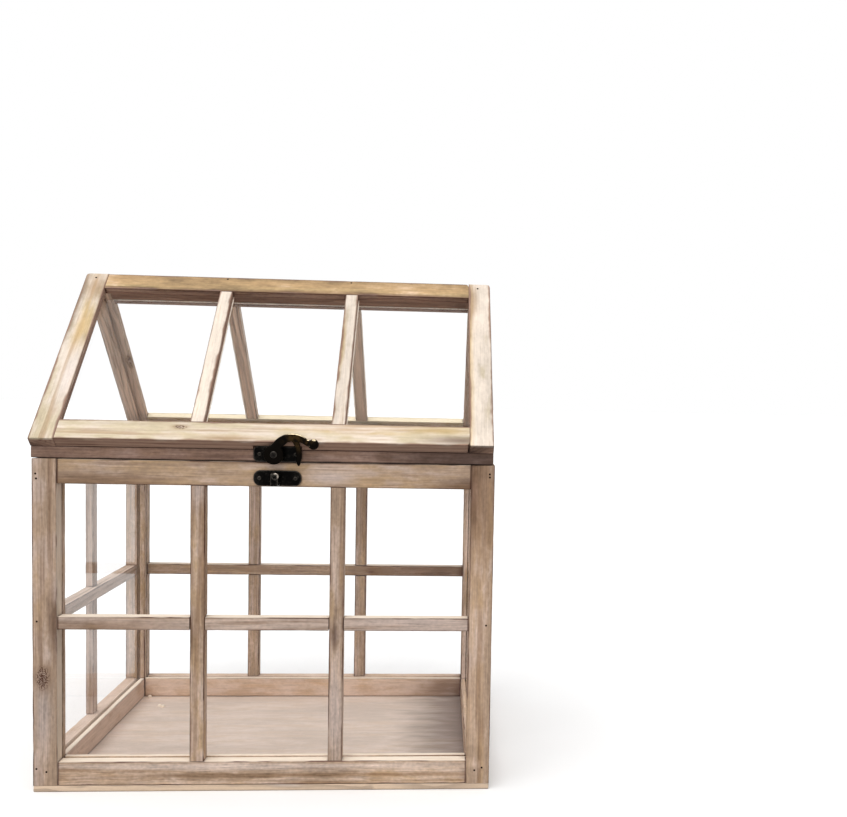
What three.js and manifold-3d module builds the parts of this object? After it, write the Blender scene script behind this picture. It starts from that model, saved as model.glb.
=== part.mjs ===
// Wooden mini greenhouse: a glazed box of grooved posts and rails on a base board, under a pitched glass lid
// that lifts on two back hinges and is held shut by a swan-neck hook. Millimetres, +Z up, front towards -Y,
// origin in the middle of the underside.

import * as THREE from 'three'
import { mergeVertices } from 'three/addons/utils/BufferGeometryUtils.js'
import Module from 'manifold-3d'

// The box
const boxWidth = 245
const boxDepth = 182
const boxHeight = 180
const baseThickness = 3.4
const postSize = 12.8
const topRailHeight = 13.3
const bottomRailHeight = 13
const barWidth = 7.7
const crossbarHeight = 7.1
const crossbarLevel = 92
const sideUprightDepth = 4.6

// The glazing
const paneThickness = 1.8
const paneSetback = 7.6
const grooveDepth = 2.7
const glassPlay = 0.3
const jointGap = 0.3

// The lid
const lidInset = 0.2
const lidShift = 0.7
const seamGap = 0.4
const ringRailDepth = 12.8
const ringRailHeight = 11
const ringFaceHeight = 6
const lipThickness = 4.2
const rafterWidth = 13.2
const ridgeRailWidth = 13.3
const eaveRailWidth = 13.8
const glassBedWidth = 5
const roofBarWidth = 7.5

// The hinges
const hingeInset = 52.5
const hingeLength = 22
const leafThickness = 0.9
const boxLeafHeight = 8.5
const lidLeafHeight = 5.4
const knuckleRadius = 1.7
const pinRadius = 0.7
const pinHeadRadius = 1.3
const pinHeadThickness = 0.5
const hingePlay = 0.3

// The latch and catch plates
const plateLength = 25.4
const plateThickness = 1.2
const plateOffset = 5.7
const latchPlateHeight = 8.4
const latchPlateCorner = 2.6
const latchPlateRise = 4.4
const catchPlateHeight = 8.3
const catchPlateCorner = 3.7
const catchPlateDrop = 8.6
const keeperWidth = 4
const keeperHeight = 7
const keeperOffset = -0.7
const keeperWall = 1.2
const keeperCorner = 1.4
const slotHeight = 3.9

// The hook, drawn about its pivot as it stands when it is swung open
const pivotOffset = -1.3
const bossRadius = 3.1
const rivetRadius = 1
const rivetHeadRadius = 1.9
const rivetHeadHeight = 0.8
const hookPlay = 0.3
const hookThickness = 1.6
const hubRadius = 5.2
const neckReach = 9.6
const neckDrop = 0.9
const neckRadius = 12.1
const throatRadius = 9.4
const throatShift = 1
const waistWidth = 2.4
const knobReach = 20.9
const knobRise = 5.8
const knobRadius = 2.8
const knobThickness = 3.6
const tongueInner = 12.1
const tongueOuter = 14.6

// Angles in radians; the roof is a right angle, so that one slope butts square against the other
const pitch = Math.PI / 4
const tongueTip = THREE.MathUtils.degToRad(-25)
const tongueTaper = THREE.MathUtils.degToRad(14)
const tongueRoot = THREE.MathUtils.degToRad(42)
const neckStart = THREE.MathUtils.degToRad(150)
const neckEnd = THREE.MathUtils.degToRad(48)
const throatStart = THREE.MathUtils.degToRad(112)

// Places of bars, as shares of the clear length between posts or rafters, from the middle of it
const wallBarShares = [-0.166, 0.172]
const sideBarShares = [0.01]
const roofBarShares = [-0.171, 0.174]

// Facets round a full turn, and along a curve of an outline
const turnSteps = 24
const curveSteps = 8
const mergeTolerance = 1e-4

const weathered = new THREE.MeshStandardMaterial({ color: 0xa88d74, roughness: 0.82, metalness: 0 })
const limewashed = new THREE.MeshStandardMaterial({ color: 0xe2d3b4, roughness: 0.8, metalness: 0 })
const darkStained = new THREE.MeshStandardMaterial({ color: 0x7c6253, roughness: 0.85, metalness: 0 })
const clearGlass = new THREE.MeshStandardMaterial({
  color: 0xf4f8f6, roughness: 0.04, metalness: 0, transparent: true, opacity: 0.2
})
const agedBronze = new THREE.MeshStandardMaterial({ color: 0x2b241c, roughness: 0.45, metalness: 0.85 })

// Sizes that several pieces share
const halfWidth = boxWidth / 2
const halfDepth = boxDepth / 2
const lidWidth = boxWidth - 2 * lidInset
const sill = baseThickness + bottomRailHeight
const head = boxHeight - topRailHeight
const paneBack = paneSetback + paneThickness
const barDepth = paneSetback - glassPlay
const slabThickness = lipThickness + glassPlay + paneThickness
const slabRise = slabThickness + jointGap
const lidFoot = boxHeight + seamGap
const eaveLevel = lidFoot + ringFaceHeight
const ringTop = lidFoot + ringRailHeight
const underRidge = eaveLevel + halfDepth * Math.tan(pitch)
const ridgeLevel = underRidge + slabRise / Math.cos(pitch)
const slopeLength = halfDepth / Math.cos(pitch) + slabRise * Math.tan(pitch)
const eaveOverhang = slabRise * Math.sin(pitch)
const latchPlateLevel = boxHeight + latchPlateRise
const pivotX = plateOffset + pivotOffset
const hookBack = halfDepth + eaveOverhang + hookPlay
const hookFront = hookBack + hookThickness

const wasm = await Module()
wasm.setup()

function solidOf(geometry) {
  const bare = geometry.clone()
  bare.deleteAttribute('normal')
  bare.deleteAttribute('uv')
  const merged = mergeVertices(bare, mergeTolerance)
  const vertProperties = new Float32Array(merged.attributes.position.array)
  const triVerts = new Uint32Array(merged.index.array)
  return new wasm.Manifold(new wasm.Mesh({ numProp: 3, vertProperties, triVerts }))
}

function geometryOf(solid) {
  const { vertProperties, triVerts } = solid.getMesh()
  const geometry = new THREE.BufferGeometry()
  geometry.setAttribute('position', new THREE.BufferAttribute(vertProperties, 3))
  geometry.setIndex(new THREE.BufferAttribute(triVerts, 1))
  geometry.computeVertexNormals()
  return geometry
}

// Joins the first geometries into one body and takes the others out of it
function carved(joined, cuts = []) {
  let solid = solidOf(joined[0])
  for (const geometry of joined.slice(1)) solid = solid.add(solidOf(geometry))
  for (const geometry of cuts) solid = solid.subtract(solidOf(geometry))
  return geometryOf(solid)
}

function piece(name, geometry, material, x = 0, y = 0, z = 0) {
  const mesh = new THREE.Mesh(geometry, material.clone())
  mesh.name = name
  mesh.position.set(x, y, z)
  return mesh
}

function placed(group, turn, x, y, z = 0) {
  group.rotation.z = turn
  group.position.set(x, y, z)
  return group
}

// A range is a [from, to] pair, and a span gives one for each of x, y and z
const middleOf = ([from, to]) => (from + to) / 2
const lengthOf = ([from, to]) => to - from
const around = (centre, length) => [centre - length / 2, centre + length / 2]
const ordered = (a, b) => [Math.min(a, b), Math.max(a, b)]
const grow = ([from, to], by) => [from - by, to + by]

function block(span) {
  const geometry = new THREE.BoxGeometry(lengthOf(span.x), lengthOf(span.y), lengthOf(span.z))
  return geometry.translate(middleOf(span.x), middleOf(span.y), middleOf(span.z))
}

// A squared timber, placed by its middle, with grooves, housings or rebates cut out of it
function timber(name, material, span, cuts = []) {
  const middle = [middleOf(span.x), middleOf(span.y), middleOf(span.z)]
  const whole = block(span)
  const geometry = cuts.length > 0 ? carved([whole], cuts) : whole
  return piece(name, geometry.translate(...middle.map((value) => -value)), material, ...middle)
}

// Runs an outline drawn in y and z along x, with its middle at x = 0
function alongX(outline, length) {
  const geometry = new THREE.ExtrudeGeometry(outline, {
    depth: length, bevelEnabled: false, curveSegments: curveSteps
  })
  const turned = new THREE.Matrix4().makeBasis(
    new THREE.Vector3(0, 1, 0), new THREE.Vector3(0, 0, 1), new THREE.Vector3(1, 0, 0)
  )
  return geometry.applyMatrix4(turned).translate(-length / 2, 0, 0)
}

// Stands an outline drawn in x and z up facing the front, from y = -back out to y = -front
function facingFront(outline, back, front) {
  const geometry = new THREE.ExtrudeGeometry(outline, {
    depth: front - back, bevelEnabled: false, curveSegments: curveSteps
  })
  return geometry.rotateX(Math.PI / 2).translate(0, -back, 0)
}

// A round bar along y, from y = -back out to y = -front
function roundBar(radius, back, front) {
  const geometry = new THREE.CylinderGeometry(radius, radius, front - back, turnSteps)
  return geometry.translate(0, -(back + front) / 2, 0)
}

// The room of a wall's pane in the wall's own frame: x along it, y inwards from its outer face
function wallPane(clear) {
  const reach = clear / 2 + grooveDepth - glassPlay
  const z = grow([sill, head], grooveDepth - glassPlay)
  return { x: [-reach, reach], y: [paneSetback, paneBack], z }
}

function roomFor(pane) {
  return { x: grow(pane.x, glassPlay), y: grow(pane.y, glassPlay), z: grow(pane.z, glassPlay) }
}

// One glazed wall between two posts: grooved rails, a pane, and a crossbar half-lapped behind its uprights
function wall(side, length, barShares, uprightDepth) {
  const clear = length - 2 * postSize
  const between = around(0, clear)
  const bottomRail = { x: between, y: [0, postSize], z: [baseThickness, sill] }
  const topRail = { x: between, y: [0, postSize], z: [head, boxHeight] }
  const crossbar = { x: between, y: [0, barDepth], z: around(crossbarLevel, crossbarHeight) }
  const lapZ = grow(crossbar.z, jointGap)
  const lapY = uprightDepth / 2
  const groove = block(roomFor(wallPane(clear)))
  const uprights = barShares.map((share) => around(share * clear, barWidth))
  const notches = uprights.map((x) => block({
    x: grow(x, jointGap), y: [-jointGap, lapY + jointGap], z: lapZ
  }))
  const group = new THREE.Group()
  group.add(timber(`${side}_bottom_rail`, weathered, bottomRail, [groove]))
  group.add(timber(`${side}_top_rail`, weathered, topRail, [groove]))
  group.add(timber(`${side}_pane`, clearGlass, wallPane(clear)))
  group.add(timber(`${side}_crossbar`, weathered, crossbar, notches))
  uprights.forEach((x, index) => {
    const name = uprights.length > 1 ? `${side}_upright_${index + 1}` : `${side}_upright`
    const housing = block({ x: grow(x, jointGap), y: [lapY, uprightDepth + jointGap], z: lapZ })
    group.add(timber(name, weathered, { x, y: [0, uprightDepth], z: [sill, head] }, [housing]))
  })
  return group
}

// A corner post, grooved on its two inner faces for the panes that meet at it
function post(name, sideX, sideY) {
  const fromX = (depth) => sideX * (halfWidth - depth)
  const fromY = (depth) => sideY * (halfDepth - depth)
  const [paneFront, paneRear] = grow([paneSetback, paneBack], glassPlay)
  const grooveFoot = postSize - grooveDepth
  const beyond = postSize + grooveDepth
  const z = roomFor(wallPane(boxWidth)).z
  const span = {
    x: ordered(fromX(0), fromX(postSize)),
    y: ordered(fromY(0), fromY(postSize)),
    z: [baseThickness, boxHeight]
  }
  const grooves = [
    { x: ordered(fromX(grooveFoot), fromX(beyond)), y: ordered(fromY(paneFront), fromY(paneRear)), z },
    { x: ordered(fromX(paneFront), fromX(paneRear)), y: ordered(fromY(grooveFoot), fromY(beyond)), z }
  ]
  return timber(name, weathered, span, grooves.map(block))
}

function box() {
  const quarter = Math.PI / 2
  const mirroredShares = wallBarShares.map((share) => -share).reverse()
  const group = new THREE.Group()
  group.add(timber('base_board', weathered, {
    x: around(0, boxWidth), y: around(0, boxDepth), z: [0, baseThickness]
  }))
  group.add(post('front_left_post', -1, -1), post('front_right_post', 1, -1))
  group.add(post('back_left_post', -1, 1), post('back_right_post', 1, 1))
  group.add(placed(wall('front', boxWidth, wallBarShares, barDepth), 0, 0, -halfDepth))
  group.add(placed(wall('back', boxWidth, mirroredShares, barDepth), 2 * quarter, 0, halfDepth))
  group.add(placed(wall('left', boxDepth, sideBarShares, sideUprightDepth), -quarter, -halfWidth, 0))
  group.add(placed(wall('right', boxDepth, sideBarShares, sideUprightDepth), quarter, halfWidth, 0))
  return group
}

// A roof slope in its own frame: x along the ridge, y up the slope to 0 at the ridge, z out of its face.
// The pane is bedded in a rebate on the underside, flush with it, and the bars lie on the pane.
function slope(side, top, barShares, eaveCuts) {
  const half = lidWidth / 2
  const clear = lidWidth - 2 * rafterWidth
  const slab = [-slabThickness, 0]
  const full = [-slopeLength, top]
  const eaveHead = -slopeLength + eaveRailWidth
  const ridgeFoot = top - ridgeRailWidth
  const between = grow(around(0, clear), -jointGap)
  const bed = {
    x: grow(around(0, clear), glassBedWidth),
    y: grow([eaveHead, ridgeFoot], glassBedWidth),
    z: [-slabThickness - glassPlay, -lipThickness]
  }
  const pane = {
    x: grow(bed.x, -glassPlay),
    y: grow(bed.y, -glassPlay),
    z: [-slabThickness, -lipThickness - glassPlay]
  }
  const ridgeRail = { x: between, y: [ridgeFoot, top], z: slab }
  const eaveRail = { x: between, y: [-slopeLength, eaveHead], z: slab }
  const rebate = block(bed)
  const group = new THREE.Group()
  group.add(timber(`${side}_left_rafter`, limewashed, { x: [-half, -clear / 2], y: full, z: slab }, [rebate]))
  group.add(timber(`${side}_right_rafter`, limewashed, { x: [clear / 2, half], y: full, z: slab }, [rebate]))
  group.add(timber(`${side}_ridge_rail`, limewashed, ridgeRail, [rebate]))
  group.add(timber(`${side}_eave_rail`, limewashed, eaveRail, [rebate, ...eaveCuts]))
  group.add(timber(`${side}_roof_pane`, clearGlass, pane))
  barShares.forEach((share, index) => {
    const bar = {
      x: around(share * clear, roofBarWidth), y: grow([eaveHead, ridgeFoot], -jointGap), z: [-lipThickness, 0]
    }
    group.add(timber(`${side}_roof_bar_${index + 1}`, limewashed, bar))
  })
  group.rotation.x = pitch
  return new THREE.Group().add(group)
}

// The latch plate's housing in the front eave rail, open to the front, in that slope's own frame
function latchHousing() {
  const plateTop = latchPlateLevel + latchPlateHeight / 2
  const housing = block({
    x: grow(around(plateOffset + lidShift, plateLength), jointGap),
    y: [-hookBack, jointGap - halfDepth],
    z: [lidFoot, plateTop + jointGap]
  })
  return housing.translate(0, 0, -ridgeLevel).rotateX(-pitch)
}

// A ring rail under an eave, bevelled along the underside of the slope that rests on it
function ringRail(name) {
  const outer = -halfDepth
  const inner = outer + ringRailDepth
  const bevel = outer + (ringTop - eaveLevel) / Math.tan(pitch)
  const outline = new THREE.Shape([
    new THREE.Vector2(outer, lidFoot),
    new THREE.Vector2(inner, lidFoot),
    new THREE.Vector2(inner, ringTop),
    new THREE.Vector2(bevel, ringTop),
    new THREE.Vector2(outer, eaveLevel)
  ])
  return new THREE.Group().add(piece(name, alongX(outline, lidWidth), darkStained))
}

// A triangular pane stands on each side rail of the ring and fills the gable up to the slopes
function gablePane(name, x) {
  const rise = underRidge - ringTop
  const run = rise / Math.tan(pitch)
  const outline = new THREE.Shape([
    new THREE.Vector2(-run, 0), new THREE.Vector2(run, 0), new THREE.Vector2(0, rise)
  ])
  return piece(name, alongX(outline, paneThickness), clearGlass, x, 0, ringTop)
}

function lid() {
  const half = lidWidth / 2
  const sideY = around(0, boxDepth - 2 * ringRailDepth)
  const sideZ = [lidFoot, ringTop]
  const gableX = half - ringRailDepth / 2
  const mirroredShares = roofBarShares.map((share) => -share).reverse()
  const group = new THREE.Group()
  group.add(placed(ringRail('lid_front_rail'), 0, 0, 0))
  group.add(placed(ringRail('lid_back_rail'), Math.PI, 0, 0))
  group.add(timber('lid_left_rail', darkStained, { x: [-half, ringRailDepth - half], y: sideY, z: sideZ }))
  group.add(timber('lid_right_rail', darkStained, { x: [half - ringRailDepth, half], y: sideY, z: sideZ }))
  group.add(gablePane('left_gable_pane', -gableX), gablePane('right_gable_pane', gableX))
  group.add(placed(slope('front', 0, roofBarShares, [latchHousing()]), 0, 0, 0, ridgeLevel))
  group.add(placed(slope('back', -slabRise, mirroredShares, []), Math.PI, 0, 0, ridgeLevel))
  return placed(group, 0, -lidShift, 0)
}

// One leaf of a butt hinge about its axis along x: a plate going up or down from it, and its own knuckles
function hingeLeaf(name, direction, height, knuckles) {
  const plateY = around(leafThickness / 2 - hingePlay - knuckleRadius, leafThickness)
  const clearOfKnuckles = direction * (knuckleRadius + hingePlay)
  const joined = [block({
    x: around(0, hingeLength), y: plateY, z: ordered(clearOfKnuckles, direction * height)
  })]
  for (const x of knuckles) {
    const barrel = new THREE.CylinderGeometry(knuckleRadius, knuckleRadius, lengthOf(x), turnSteps)
    joined.push(barrel.rotateZ(Math.PI / 2).translate(middleOf(x), 0, 0))
    joined.push(block({ x, y: plateY, z: ordered(0, direction * height) }))
  }
  const bore = new THREE.CylinderGeometry(pinRadius + hingePlay, pinRadius + hingePlay, boxWidth, turnSteps)
  return piece(name, carved(joined, [bore.rotateZ(Math.PI / 2)]), agedBronze)
}

// A hinge pin with both ends riveted over
function hingePin(name) {
  const end = hingeLength / 2
  const outline = [
    new THREE.Vector2(0, -end - pinHeadThickness),
    new THREE.Vector2(pinHeadRadius, -end - pinHeadThickness),
    new THREE.Vector2(pinHeadRadius, -end),
    new THREE.Vector2(pinRadius, -end),
    new THREE.Vector2(pinRadius, end),
    new THREE.Vector2(pinHeadRadius, end),
    new THREE.Vector2(pinHeadRadius, end + pinHeadThickness),
    new THREE.Vector2(0, end + pinHeadThickness)
  ]
  return piece(name, new THREE.LatheGeometry(outline, turnSteps).rotateZ(Math.PI / 2), agedBronze)
}

function hinge(side, x) {
  const end = hingeLength / 2
  const third = hingeLength / 6
  const gap = hingePlay / 2
  const outerKnuckles = [[-end, -third - gap], [third + gap, end]]
  const middleKnuckle = [[gap - third, third - gap]]
  const group = new THREE.Group()
  group.add(hingeLeaf(`${side}_hinge_box_leaf`, -1, boxLeafHeight, outerKnuckles))
  group.add(hingeLeaf(`${side}_hinge_lid_leaf`, 1, lidLeafHeight, middleKnuckle))
  group.add(hingePin(`${side}_hinge_pin`))
  return placed(group, 0, x, halfDepth + hingePlay + knuckleRadius, boxHeight + seamGap / 2)
}

function roundedPlate(height, corner) {
  const x = plateLength / 2 - corner
  const z = height / 2 - corner
  const quarter = Math.PI / 2
  const outline = new THREE.Shape()
  outline.absarc(x, z, corner, 0, quarter)
  outline.absarc(-x, z, corner, quarter, 2 * quarter)
  outline.absarc(-x, -z, corner, 2 * quarter, 3 * quarter)
  outline.absarc(x, -z, corner, 3 * quarter, 4 * quarter)
  return facingFront(outline, halfDepth, halfDepth + plateThickness)
}

// The lid's plate, with the boss that carries the hook clear of the eave
function latchPlate() {
  const plateFront = halfDepth + plateThickness
  const boss = roundBar(bossRadius, halfDepth, hookBack - hookPlay).translate(pivotOffset, 0, 0)
  const socket = roundBar(rivetRadius + hookPlay, plateFront, hookBack).translate(pivotOffset, 0, 0)
  const geometry = carved([roundedPlate(latchPlateHeight, latchPlateCorner), boss], [socket])
  return piece('latch_plate', geometry, agedBronze, plateOffset, 0, latchPlateLevel)
}

// A domed rivet stands in the boss and keeps the hook on it
function latchRivet() {
  const foot = halfDepth + plateThickness
  const shank = hookFront + hookPlay - foot
  const outline = [
    new THREE.Vector2(0, 0),
    new THREE.Vector2(rivetRadius, 0),
    new THREE.Vector2(rivetRadius, shank),
    new THREE.Vector2(rivetHeadRadius, shank)
  ]
  for (let step = 1; step <= curveSteps; step += 1) {
    const angle = (step / curveSteps) * Math.PI / 2
    const radius = step < curveSteps ? rivetHeadRadius * Math.cos(angle) : 0
    outline.push(new THREE.Vector2(radius, shank + rivetHeadHeight * Math.sin(angle)))
  }
  const geometry = new THREE.LatheGeometry(outline, turnSteps).rotateX(Math.PI)
  return piece('latch_rivet', geometry, agedBronze, pivotX, -foot, latchPlateLevel)
}

// The arched neck from the hub to the knob, thick at the hub and slim at the knob
function neckOutline() {
  const outline = new THREE.Shape()
  outline.absarc(neckReach, -neckDrop, neckRadius, neckStart, neckEnd, true)
  outline.lineTo(knobReach, knobRise + waistWidth / 2)
  outline.lineTo(knobReach, knobRise - waistWidth / 2)
  outline.absarc(neckReach + throatShift, -neckDrop - throatShift, throatRadius, neckEnd, throatStart, false)
  outline.lineTo(hubRadius * Math.cos(pitch), hubRadius * Math.sin(pitch))
  return outline
}

// The tongue that slides through the keeper: a band round the pivot, its inner edge drawn out to a tip
function tongueOutline() {
  const outline = new THREE.Shape()
  const taperEnd = tongueTip + tongueTaper
  const taperMiddle = tongueTip + tongueTaper / 2
  outline.absarc(0, 0, tongueOuter, tongueTip, tongueRoot, false)
  outline.absarc(0, 0, tongueInner, tongueRoot, taperEnd, true)
  outline.quadraticCurveTo(
    tongueInner * Math.cos(taperMiddle), tongueInner * Math.sin(taperMiddle),
    tongueOuter * Math.cos(tongueTip), tongueOuter * Math.sin(tongueTip)
  )
  return outline
}

function latchHook() {
  const hub = roundBar(hubRadius, hookBack, hookFront)
  const neck = facingFront(neckOutline(), hookBack, hookFront)
  const tongue = facingFront(tongueOutline(), hookBack, hookFront)
  const knob = new THREE.SphereGeometry(knobRadius, turnSteps, turnSteps / 2)
  knob.scale(1, knobThickness / (2 * knobRadius), 1)
  knob.translate(knobReach, -hookBack - knobThickness / 2, knobRise)
  const bore = roundBar(rivetRadius + hookPlay, hookBack - hookPlay, hookFront + hookPlay)
  const geometry = carved([hub, neck, tongue, knob], [bore])
  return piece('latch_hook', geometry, agedBronze, pivotX, 0, latchPlateLevel)
}

// The box's plate, with a staple-shaped keeper standing out to the hook's plane
function catchPlate() {
  const level = boxHeight - catchPlateDrop
  const root = -halfDepth - plateThickness / 2
  const slotFront = -hookFront - hookPlay
  const front = slotFront - keeperWall
  const halfSlot = slotHeight / 2
  const halfKeeper = keeperHeight / 2
  const cornerY = front + keeperCorner
  const cornerZ = halfKeeper - keeperCorner
  const quarter = Math.PI / 2
  const outline = new THREE.Shape()
  outline.moveTo(root, halfKeeper)
  outline.absarc(cornerY, cornerZ, keeperCorner, quarter, 2 * quarter)
  outline.absarc(cornerY, -cornerZ, keeperCorner, 2 * quarter, 3 * quarter)
  outline.lineTo(root, -halfKeeper)
  outline.lineTo(root, -halfSlot)
  outline.lineTo(slotFront, -halfSlot)
  outline.lineTo(slotFront, halfSlot)
  outline.lineTo(root, halfSlot)
  const keeperLevel = latchPlateLevel - (tongueInner + tongueOuter) / 2
  const keeper = alongX(outline, keeperWidth).translate(keeperOffset, 0, keeperLevel - level)
  const plate = roundedPlate(catchPlateHeight, catchPlateCorner)
  return piece('catch_plate', carved([plate, keeper]), agedBronze, plateOffset, 0, level)
}

const greenhouse = new THREE.Group()
greenhouse.add(box(), lid())
greenhouse.add(hinge('left', hingeInset - halfWidth), hinge('right', halfWidth - hingeInset))
greenhouse.add(latchPlate(), latchRivet(), latchHook(), catchPlate())

// The origin goes to the middle of the underside of the whole
const extent = new THREE.Box3().setFromObject(greenhouse)
const centre = extent.getCenter(new THREE.Vector3())
greenhouse.position.set(-centre.x, -centre.y, -extent.min.z)

export default greenhouse
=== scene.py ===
import math
import random

import bmesh
import bpy
from mathutils import Matrix, Vector, noise


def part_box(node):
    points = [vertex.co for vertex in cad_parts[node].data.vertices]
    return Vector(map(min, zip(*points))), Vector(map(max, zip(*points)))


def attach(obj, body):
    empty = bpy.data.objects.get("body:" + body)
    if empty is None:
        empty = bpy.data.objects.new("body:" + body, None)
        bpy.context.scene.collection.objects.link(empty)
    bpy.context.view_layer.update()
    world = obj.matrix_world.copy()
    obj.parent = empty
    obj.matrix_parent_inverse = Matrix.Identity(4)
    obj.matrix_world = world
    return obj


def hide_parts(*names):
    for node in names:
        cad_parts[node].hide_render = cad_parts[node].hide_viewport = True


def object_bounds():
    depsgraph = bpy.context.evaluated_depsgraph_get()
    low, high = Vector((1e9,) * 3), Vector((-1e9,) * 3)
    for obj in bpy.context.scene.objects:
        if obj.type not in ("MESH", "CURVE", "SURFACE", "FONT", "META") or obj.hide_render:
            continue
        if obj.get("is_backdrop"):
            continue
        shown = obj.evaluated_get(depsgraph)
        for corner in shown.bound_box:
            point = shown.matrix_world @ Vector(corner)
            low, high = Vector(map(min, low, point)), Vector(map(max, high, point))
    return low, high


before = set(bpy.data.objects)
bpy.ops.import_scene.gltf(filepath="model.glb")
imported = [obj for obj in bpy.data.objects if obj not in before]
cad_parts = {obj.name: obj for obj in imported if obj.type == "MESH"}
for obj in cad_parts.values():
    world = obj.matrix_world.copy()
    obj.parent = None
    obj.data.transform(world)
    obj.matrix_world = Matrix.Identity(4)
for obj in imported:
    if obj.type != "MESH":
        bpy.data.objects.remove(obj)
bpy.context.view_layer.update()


# Base board
# A thin softwood board under the whole box, nailed up into the rails and posts. It is sawn from the same old
# limed stock as the walls, its grain runs the long way, and its edges are rubbed round.

MM = 0.001


class Wire:
    """An output in a material. Sums and products of wires add the Math nodes that they need."""

    def __init__(self, tree, socket=None):
        self.tree = tree
        self.socket = socket

    def node(self, kind, inputs=(), output=0, **settings):
        """One of the outputs of a new node, made with its settings and the values or wires of its inputs."""
        made = self.tree.nodes.new("ShaderNode" + kind)
        for setting, value in settings.items():
            setattr(made, setting, value)
        for key, value in dict(inputs).items():
            if isinstance(value, Wire):
                self.tree.links.new(value.socket, made.inputs[key])
            else:
                made.inputs[key].default_value = value
        return Wire(self.tree, made.outputs[output]) if made.outputs else None

    def maths(self, operation, *values):
        return self.node("Math", enumerate(values), operation=operation)

    def vectors(self, operation, *values):
        return self.node("VectorMath", enumerate(values), operation=operation)

    def __add__(self, other):
        return self.maths("ADD", self, other)

    def __sub__(self, other):
        return self.maths("SUBTRACT", self, other)

    def __rsub__(self, other):
        return self.maths("SUBTRACT", other, self)

    def __mul__(self, other):
        return self.maths("MULTIPLY", self, other)

    def __truediv__(self, other):
        return self.maths("DIVIDE", self, other)

    __radd__ = __add__
    __rmul__ = __mul__

    def rise(self, low, high):
        """0 below low and 1 above high, eased between them."""
        ends = {"Value": self, "From Min": low, "From Max": high}
        return self.node("MapRange", ends, interpolation_type="SMOOTHSTEP")

    def coat(self, colour, share):
        """This colour with another laid over it."""
        return self.node("Mix", {0: share, 6: self, 7: colour}, 2, data_type="RGBA")

    def parts(self):
        return [self.node("SeparateXYZ", {0: self}, axis) for axis in "XYZ"]

    def streaks(self, per_metre, detail=3.0):
        """Noise drawn out by a number of lumps per metre along, across and out of the piece."""
        return self.node("TexNoise", {"Vector": self.vectors("MULTIPLY", self, per_metre), "Scale": 1.0,
                                      "Detail": detail}, "Fac")


def paint(red, green, blue):
    """A colour as it is read off a swatch, made linear."""
    return tuple((value / 255) ** 2.2 for value in (red, green, blue)) + (1.0,)


def blank(name):
    """An empty material, and a wire to start its nodes from."""
    material = bpy.data.materials.new(name)
    material.use_nodes = True
    material.node_tree.nodes.clear()
    return material, Wire(material.node_tree)


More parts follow.
